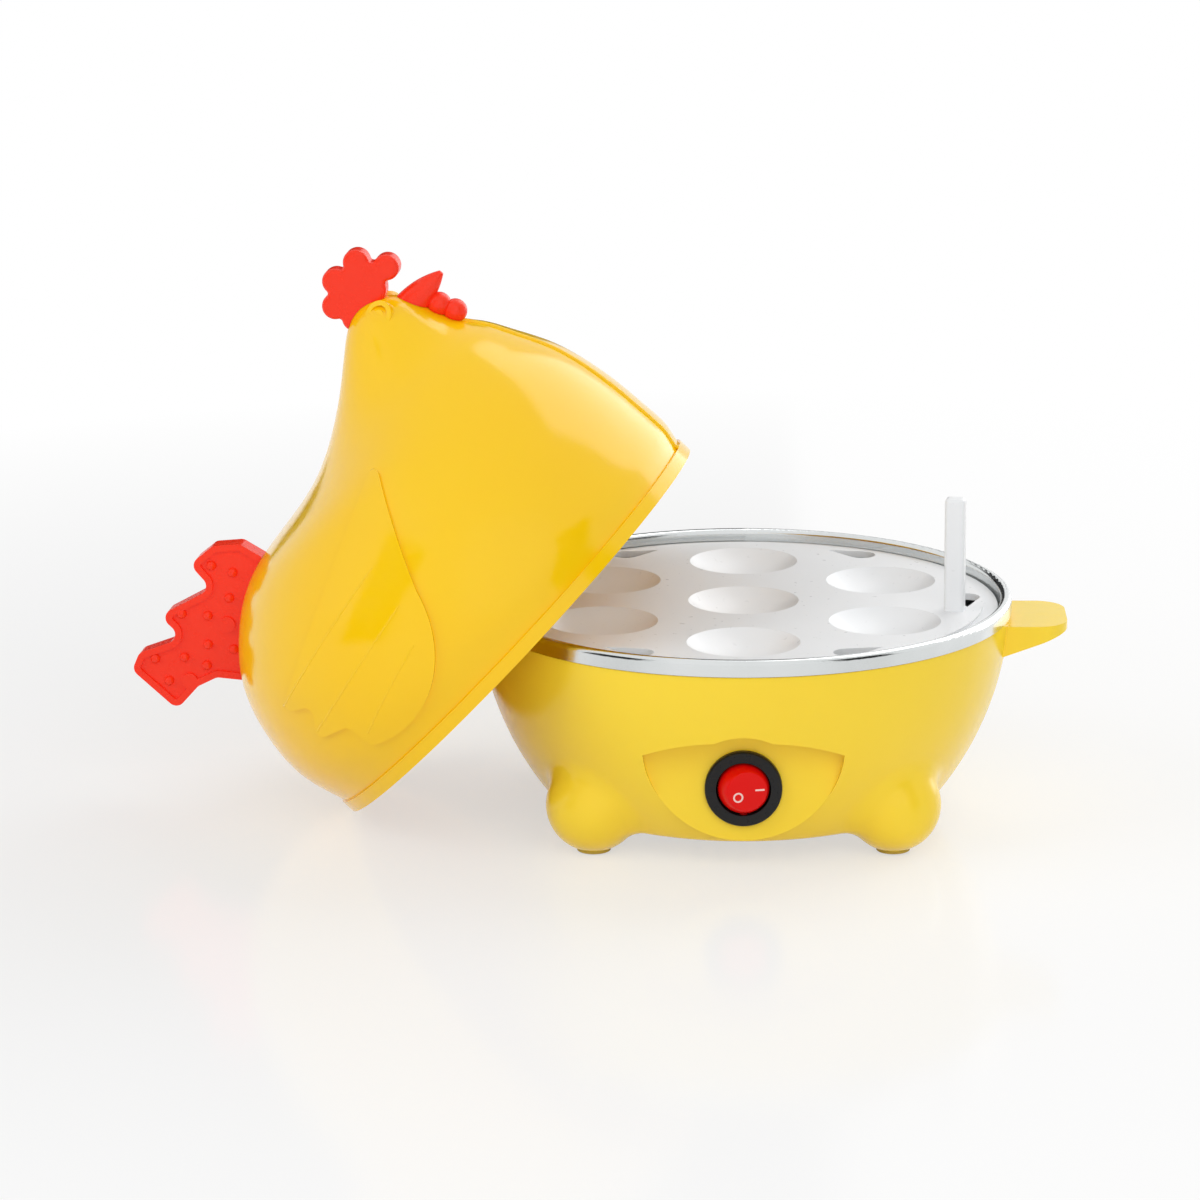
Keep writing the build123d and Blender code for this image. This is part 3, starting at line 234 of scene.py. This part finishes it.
# a material on one of the two groups; constants go straight to the shader
def makeMaterial(name, group, look):
    material = bpy.data.materials.new(name)
    material.use_nodes = True
    tree = material.node_tree
    shader = tree.nodes["Principled BSDF"]
    skin = addNode(tree, "ShaderNodeGroup", node_tree=group)
    skin.inputs["Colour"].default_value = (*look["colour"], 1)
    skin.inputs["Deep Colour"].default_value = (*look["deepColour"], 1)
    skin.inputs["Roughness"].default_value = look["roughness"]
    bump = addNode(tree, "ShaderNodeBump")
    bump.inputs["Strength"].default_value = look["bumpStrength"]
    bump.inputs["Distance"].default_value = look["bumpDepth"]
    tree.links.new(skin.outputs["Colour"], shader.inputs["Base Color"])
    tree.links.new(skin.outputs["Roughness"], shader.inputs["Roughness"])
    tree.links.new(skin.outputs["Height"], bump.inputs["Height"])
    tree.links.new(bump.outputs["Normal"], shader.inputs["Normal"])
    for socketName, value in look.get("shader", {}).items():
        shader.inputs[socketName].default_value = value
    return material


lidLook = {
    "colour": (1.0, 0.62, 0.002), "deepColour": (0.98, 0.55, 0.001), "roughness": 0.12,
    "bumpStrength": 0.2, "bumpDepth": 0.0004,
    "shader": {
        "Subsurface Weight": 0.08, "Subsurface Radius": (0.01, 0.006, 0.001), "Specular IOR Level": 0.42,
    },
}
baseLook = {
    "colour": (1.0, 0.72, 0.04), "deepColour": (0.98, 0.67, 0.03), "roughness": 0.2,
    "bumpStrength": 0.18, "bumpDepth": 0.0004,
    "shader": {
        "Subsurface Weight": 0.06, "Subsurface Radius": (0.008, 0.005, 0.001), "Specular IOR Level": 0.35,
    },
}
trimLook = {
    "colour": (1.0, 0.042, 0.012), "deepColour": (0.9, 0.026, 0.008), "roughness": 0.24,
    "bumpStrength": 0.2, "bumpDepth": 0.0003,
    "shader": {
        "Subsurface Weight": 0.08, "Subsurface Radius": (0.006, 0.001, 0.0006), "Specular IOR Level": 0.32,
    },
}
trayLook = {
    "colour": (0.88, 0.89, 0.90), "deepColour": (0.82, 0.84, 0.86), "roughness": 0.3,
    "bumpStrength": 0.2, "bumpDepth": 0.0003,
    "shader": {"Subsurface Weight": 0.1, "Subsurface Radius": (0.004, 0.004, 0.004), "IOR": 1.47},
}
steelLook = {
    "colour": (0.74, 0.76, 0.76), "deepColour": (0.62, 0.65, 0.65), "roughness": 0.14,
    "bumpStrength": 0.06, "bumpDepth": 0.00006, "shader": {"Metallic": 1.0},
}
zincLook = {
    "colour": (0.62, 0.63, 0.66), "deepColour": (0.5, 0.51, 0.5), "roughness": 0.3,
    "bumpStrength": 0.2, "bumpDepth": 0.0001, "shader": {"Metallic": 1.0},
}
blackLook = {
    "colour": (0.012, 0.012, 0.013), "deepColour": (0.02, 0.02, 0.02), "roughness": 0.28,
    "bumpStrength": 0.3, "bumpDepth": 0.0002, "shader": {"Specular IOR Level": 0.2},
}
rockerLook = {
    "colour": (0.80, 0.004, 0.002), "deepColour": (0.68, 0.002, 0.001), "roughness": 0.18,
    "bumpStrength": 0.2, "bumpDepth": 0.0002, "shader": {"Specular IOR Level": 0.18},
}
markLook = {
    "colour": (0.95, 0.70, 0.68), "deepColour": (0.88, 0.6, 0.58), "roughness": 0.4,
    "bumpStrength": 0.2, "bumpDepth": 0.0001, "shader": {},
}
brassLook = {
    "colour": (0.78, 0.56, 0.22), "deepColour": (0.6, 0.4, 0.14), "roughness": 0.28,
    "bumpStrength": 0.2, "bumpDepth": 0.0001, "shader": {"Metallic": 1.0},
}
aluminiumLook = {
    "colour": (0.75, 0.76, 0.77), "deepColour": (0.6, 0.61, 0.62), "roughness": 0.36,
    "bumpStrength": 0.4, "bumpDepth": 0.0002, "shader": {"Metallic": 1.0},
}
heaterLook = {
    "colour": (0.28, 0.27, 0.26), "deepColour": (0.16, 0.14, 0.13), "roughness": 0.42,
    "bumpStrength": 0.3, "bumpDepth": 0.0001, "shader": {"Metallic": 1.0},
}
ceramicLook = {
    "colour": (0.82, 0.79, 0.71), "deepColour": (0.72, 0.68, 0.6), "roughness": 0.7,
    "bumpStrength": 0.4, "bumpDepth": 0.0003, "shader": {},
}
thermosetLook = {
    "colour": (0.045, 0.03, 0.022), "deepColour": (0.03, 0.02, 0.015), "roughness": 0.45,
    "bumpStrength": 0.4, "bumpDepth": 0.0003, "shader": {},
}
sleeveLook = {
    "colour": (0.78, 0.76, 0.7), "deepColour": (0.66, 0.63, 0.56), "roughness": 0.85,
    "bumpStrength": 0.6, "bumpDepth": 0.0004, "shader": {"Sheen Weight": 0.2},
}
rubberLook = {
    "colour": (0.62, 0.44, 0.06), "deepColour": (0.52, 0.36, 0.05), "roughness": 0.7,
    "bumpStrength": 0.5, "bumpDepth": 0.0003, "shader": {},
}
brownLook = dict(rubberLook, colour=(0.09, 0.035, 0.014), deepColour=(0.07, 0.026, 0.01), roughness=0.5)
blueLook = dict(rubberLook, colour=(0.012, 0.06, 0.3), deepColour=(0.01, 0.045, 0.22), roughness=0.5)
whiteLook = dict(rubberLook, colour=(0.75, 0.75, 0.72), deepColour=(0.66, 0.66, 0.62), roughness=0.5)

finishes = {
    "lid_amber": makeMaterial("lidAmber", mouldedGroup, lidLook),
    "base_yellow": makeMaterial("baseYellow", mouldedGroup, baseLook),
    "trim_red": makeMaterial("trimRed", mouldedGroup, trimLook),
    "tray_white": makeMaterial("trayWhite", mouldedGroup, trayLook),
    "stainless_steel": makeMaterial("drawnSteel", metalGroup, steelLook),
    "zinc_steel": makeMaterial("zincSteel", metalGroup, zincLook),
    "switch_black": makeMaterial("switchBlack", mouldedGroup, blackLook),
    "rocker_red": makeMaterial("rockerRed", mouldedGroup, rockerLook),
    "terminal_brass": makeMaterial("terminalBrass", metalGroup, brassLook),
    "spreader_aluminium": makeMaterial("castAluminium", metalGroup, aluminiumLook),
    "heater_steel": makeMaterial("heaterSteel", metalGroup, heaterLook),
    "bead_ceramic": makeMaterial("beadCeramic", mouldedGroup, ceramicLook),
    "thermostat_moulding": makeMaterial("thermoset", mouldedGroup, thermosetLook),
    "fuse_case": makeMaterial("fuseCase", metalGroup, aluminiumLook),
    "sleeve_white": makeMaterial("glassSleeve", mouldedGroup, sleeveLook),
    "block_white": makeMaterial("blockWhite", mouldedGroup, whiteLook),
    "foot_rubber": makeMaterial("footRubber", mouldedGroup, rubberLook),
    "lead_brown": makeMaterial("leadBrown", mouldedGroup, brownLook),
    "lead_blue": makeMaterial("leadBlue", mouldedGroup, blueLook),
    "lead_white": makeMaterial("leadWhite", mouldedGroup, whiteLook),
}
markPaint = makeMaterial("markPaint", mouldedGroup, markLook)
for part in frame["record"]["subparts"]:
    meshData = frame["nodes"][part["node"]].data
    meshData.materials.clear()
    meshData.materials.append(finishes[part["material_slot"]])
print("finishes made:", len(finishes) + 1)


# shells and trim: welded, so that highlights run smoothly over them; faces meeting at more than the
# last value, in degrees, keep a crisp edge
weldedPieces = {
    "lid_shell": ("lidDome", "lid", "lid_amber", 24),
    "lid_comb": ("combLobes", "lid", "trim_red", 35),
    "beak_and_wattle": ("beakAndWattle", "lid", "trim_red", 35),
    "lid_tail": ("tailPlate", "lid", "trim_red", 35),
    "base_shell": ("baseBowl", "base", "base_yellow", 24),
    "heating_pan": ("steelPan", "base", "stainless_steel", 62),
    "egg_tray": ("eggTray", "tray", "tray_white", 28),
    "switch_body": ("switchBezel", "base", "switch_black", 30),
    "switch_rocker": ("switchButton", "rocker", "rocker_red", 30),
}
pieces = {}
for nodeName, (pieceName, bodyName, slotName, degrees) in weldedPieces.items():
    piece = weldedCopy(nodeName, pieceName, degrees)
    putOn(piece, bodyName, finishes[slotName])
    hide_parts(nodeName)
    pieces[nodeName] = piece
print("welded pieces:", len(pieces))


# raised lines on the lid: the chest seam and the quills of the wings, laid onto the dome
lidPose = {
    "tilt": math.radians(46.8), "yaw": math.radians(5), "across": -0.0668, "back": 0.005, "radius": 0.074,
}
lineDetail = {"order": 3, "steps": 14, "roundSteps": 3, "crispDegrees": 50}
chestSeam = {
    "points": (
        (0.0575, 0.080), (0.0612, 0.0712), (0.0655, 0.0628), (0.0700, 0.0528), (0.0732, 0.0408),
        (0.0747, 0.0278), (0.0752, 0.0170), (0.0752, 0.0090), (0.0745, 0.0045),
    ),
    "wire": 0.0007, "sink": 0,
}
wingQuills = {
    "lines": (
        ((0.003, 0.047), (-0.024, 0.0435), (-0.049, 0.0362)),
        ((0.002, 0.035), (-0.022, 0.0312), (-0.0455, 0.0252)),
        ((-0.003, 0.0245), (-0.018, 0.0212), (-0.0335, 0.0155)),
    ),
    "reach": 0.085, "wire": 0.00042, "sink": 0.0003,
}


def lidMatrix(pose):
    leaning = Matrix.Rotation(-pose["yaw"], 4, "Z") @ Matrix.Rotation(-pose["tilt"], 4, "Y")
    rimHeight = pose["radius"] * math.sin(pose["tilt"])
    return Matrix.Translation((pose["across"], pose["back"], rimHeight)) @ leaning


# side -1 or 1 throws the line sideways onto the dome, 0 takes it to the nearest surface
def layOnLid(name, points, sizes, side):
    curve = bpy.data.curves.new(name, "CURVE")
    curve.dimensions = "3D"
    spline = curve.splines.new("NURBS")
    spline.points.add(len(points) - 1)
    for spot, point in zip(spline.points, points):
        spot.co = (*(lidMatrix(lidPose) @ Vector(point)), 1)
    spline.order_u = lineDetail["order"]
    spline.use_endpoint_u = True
    spline.resolution_u = lineDetail["steps"]
    line = bpy.data.objects.new(name, curve)
    scene.collection.objects.link(line)
    makeActive(line)
    bpy.ops.object.convert(target="MESH")
    wrap = line.modifiers.new("wrap", "SHRINKWRAP")
    wrap.target = pieces["lid_shell"]
    wrap.offset = -sizes["sink"]
    if side:
        wrap.wrap_method = "PROJECT"
        wrap.use_project_y = True
        wrap.use_positive_direction = side < 0
        wrap.use_negative_direction = side > 0
    applyModifiers(line)
    bpy.ops.object.convert(target="CURVE")
    line.data.bevel_depth = sizes["wire"]
    line.data.bevel_resolution = lineDetail["roundSteps"]
    line.data.use_fill_caps = True
    bpy.ops.object.convert(target="MESH")
    outwardNormals(line)
    smoothByAngle(line, lineDetail["crispDegrees"])
    putOn(line, "lid", finishes["lid_amber"])


layOnLid("chestSeam", [(reach, 0, height) for reach, height in chestSeam["points"]], chestSeam, 0)
for side, sideName in ((-1, "Near"), (1, "Far")):
    for number, line in enumerate(wingQuills["lines"], 1):
        quillPoints = [(reach, side * wingQuills["reach"], height) for reach, height in line]
        layOnLid("wingQuill" + sideName + str(number), quillPoints, wingQuills, side)
print("lid lines laid")


# marks on the rocker: a ring for off and a bar for on
rockerJoint = next(joint for joint in frame["joints"] if joint["name"] == "rocker_tilt")
rockerMarks = {
    "pivot": rockerJoint["pos_m"], "tip": math.radians(13), "rise": 0.005,
    "ringAcross": -0.0027, "ringDown": -0.0016, "ringRadius": 0.00125, "ringWire": 0.0003,
    "barAcross": 0.0037, "barUp": 0.0003, "barLength": 0.0028, "barWidth": 0.00055, "sink": 0.00012,
    "ringSteps": 48, "wireSteps": 10, "barRoundShare": 0.3, "barRoundSteps": 3, "crispDegrees": 40,
}


def makeRockerMarks(sizes):
    facing = Matrix.Rotation(sizes["tip"], 4, "Z") @ Matrix.Rotation(math.pi / 2, 4, "X")
    turn = Matrix.Translation(sizes["pivot"]) @ facing
    level = sizes["rise"] - sizes["sink"]
    deselectAll()
    bpy.ops.mesh.primitive_torus_add(
        major_radius=sizes["ringRadius"], minor_radius=sizes["ringWire"],
        major_segments=sizes["ringSteps"], minor_segments=sizes["wireSteps"],
    )
    ring = bpy.context.object
    ring.name = "offRing"
    ring.matrix_world = turn @ Matrix.Translation((sizes["ringAcross"], sizes["ringDown"], level))
    applyPlace(ring)
    smoothByAngle(ring, sizes["crispDegrees"])
    deselectAll()
    bpy.ops.mesh.primitive_cube_add(size=1)
    bar = bpy.context.object
    bar.name = "onBar"
    bar.dimensions = (sizes["barLength"], sizes["barWidth"], sizes["barWidth"])
    bpy.ops.object.transform_apply(scale=True)
    bpy.ops.object.mode_set(mode="EDIT")
    bpy.ops.mesh.select_all(action="SELECT")
    barRound = sizes["barWidth"] * sizes["barRoundShare"]
    bpy.ops.mesh.bevel(offset=barRound, segments=sizes["barRoundSteps"], affect="EDGES")
    bpy.ops.object.mode_set(mode="OBJECT")
    bar.matrix_world = turn @ Matrix.Translation((sizes["barAcross"], sizes["barUp"], level))
    applyPlace(bar)
    smoothByAngle(bar, sizes["crispDegrees"])
    for mark in (ring, bar):
        putOn(mark, "rocker", markPaint)


makeRockerMarks(rockerMarks)
print("rocker marked")


# floor, light and camera
stageLook = {
    "floorSize": 8, "floorDrop": 0.0003, "floorColour": (0.93, 0.93, 0.93, 1), "floorRoughness": 0.14,
    "floorShine": 0.3, "nearGlow": 0.58, "farGlow": 1.0, "nearReach": 0.22, "farReach": 0.6,
    "backdrop": 0.45, "white": (1, 1, 1, 1),
}


# 1 where the camera, a reflection or a see-through piece looks at the stage, 0 for its light
def addSeen(tree):
    rays = addNode(tree, "ShaderNodeLightPath")
    seen = addMath(tree, "MAXIMUM", rays.outputs["Is Camera Ray"], rays.outputs["Is Glossy Ray"])
    return addMath(tree, "MAXIMUM", seen, rays.outputs["Is Transmission Ray"])


def makeFloor(look):
    deselectAll()
    bpy.ops.mesh.primitive_plane_add(size=look["floorSize"], location=(0, 0, -look["floorDrop"]))
    floor = bpy.context.object
    floor.name = "floor"
    material = bpy.data.materials.new("floorWhite")
    material.use_nodes = True
    tree = material.node_tree
    shader = tree.nodes["Principled BSDF"]
    shader.inputs["Base Color"].default_value = look["floorColour"]
    shader.inputs["Roughness"].default_value = look["floorRoughness"]
    shader.inputs["Specular IOR Level"].default_value = look["floorShine"]
    glow = addNode(tree, "ShaderNodeEmission")
    seen = addSeen(tree)
    place = addNode(tree, "ShaderNodeTexCoord")
    reach = addNode(tree, "ShaderNodeVectorMath", operation="LENGTH")
    tree.links.new(place.outputs["Object"], reach.inputs[0])
    fade = addNode(tree, "ShaderNodeMapRange")
    for index, key in enumerate(("nearReach", "farReach", "nearGlow", "farGlow")):
        fade.inputs[index + 1].default_value = look[key]
    tree.links.new(reach.outputs["Value"], fade.inputs[0])
    mixer = addNode(tree, "ShaderNodeMixShader")
    tree.links.new(addMath(tree, "MULTIPLY", seen, fade.outputs[0]), mixer.inputs[0])
    tree.links.new(shader.outputs[0], mixer.inputs[1])
    tree.links.new(glow.outputs[0], mixer.inputs[2])
    tree.links.new(mixer.outputs[0], tree.nodes["Material Output"].inputs[0])
    floor.data.materials.append(material)


def makeWorld(look):
    world = bpy.data.worlds.new("studio")
    scene.world = world
    world.use_nodes = True
    tree = world.node_tree
    background = tree.nodes["Background"]
    added = addMath(tree, "MULTIPLY", addSeen(tree), 1 - look["backdrop"])
    tree.links.new(addMath(tree, "ADD", added, look["backdrop"]), background.inputs["Strength"])
    background.inputs["Color"].default_value = look["white"]


lamps = {
    "chestBox": {
        "place": (0.80, 0.95, 0.90), "aim": (-0.04, 0, 0.08), "size": (1.1, 2.2),
        "watts": 14.5, "shine": True,
    },
    "frontBox": {
        "place": (0.4, -1.9, 1.1), "aim": (0, 0, 0.05), "size": (1.8, 1.8),
        "watts": 18, "shine": False,
    },
    "leftBox": {
        "place": (-1.7, -0.6, 1.0), "aim": (-0.05, 0, 0.06), "size": (1.4, 1.4),
        "watts": 11, "shine": False,
    },
}


def makeLamp(name, look):
    light = bpy.data.lights.new(name, "AREA")
    light.shape = "RECTANGLE"
    light.size, light.size_y = look["size"]
    light.energy = look["watts"]
    lamp = bpy.data.objects.new(name, light)
    scene.collection.objects.link(lamp)
    lamp.visible_glossy = look["shine"]
    lamp.location = look["place"]
    sight = Vector(look["aim"]) - Vector(look["place"])
    lamp.rotation_euler = sight.to_track_quat("-Z", "Y").to_euler()


# dark cards that only reflections see, for depth in the steel and the gloss
cardLook = {"aim": (0, 0, 0.06), "roughness": 0.9}
cards = {
    "rightCard": {"place": (0.95, -0.75, 0.35), "size": (0.5, 1.3)},
    "leftCard": {"place": (-1.1, -0.75, 0.35), "size": (0.6, 1.3)},
    "backCard": {"place": (-0.35, 1.3, 0.35), "size": (0.8, 0.9)},
}


def makeCard(name, look, material):
    deselectAll()
    bpy.ops.mesh.primitive_plane_add(size=1)
    card = bpy.context.object
    card.name = name
    card.dimensions = (*look["size"], 0)
    card.location = look["place"]
    sight = Vector(cardLook["aim"]) - Vector(look["place"])
    card.rotation_euler = sight.to_track_quat("Z", "Y").to_euler()
    card.data.materials.append(material)
    card.visible_camera = False
    card.visible_diffuse = False
    card.visible_shadow = False


cameraLook = {
    "distance": 1.5, "elevation": math.radians(14.6), "height": 0.0642, "frameWidth": 0.3582,
    "shiftX": -0.1196, "sensor": 36, "farClip": 20,
}


def makeCamera(look):
    data = bpy.data.cameras.new("photoCamera")
    camera = bpy.data.objects.new("photoCamera", data)
    scene.collection.objects.link(camera)
    data.sensor_width = look["sensor"]
    data.lens = look["sensor"] * look["distance"] / look["frameWidth"]
    data.shift_x = look["shiftX"]
    data.clip_end = look["farClip"]
    target = Vector((0, 0, look["height"]))
    sight = Vector((0, -math.cos(look["elevation"]), math.sin(look["elevation"])))
    camera.location = target + look["distance"] * sight
    camera.rotation_euler = (math.pi / 2 - look["elevation"], 0, 0)
    scene.camera = camera


makeFloor(stageLook)
makeWorld(stageLook)
for lampName, lampLook in lamps.items():
    makeLamp(lampName, lampLook)
cardPaint = makeMaterial("cardPaint", mouldedGroup, dict(blackLook, roughness=cardLook["roughness"]))
for cardName, cardPlace in cards.items():
    makeCard(cardName, cardPlace, cardPaint)
makeCamera(cameraLook)
scene.view_settings.view_transform = "Standard"
print("stage set")
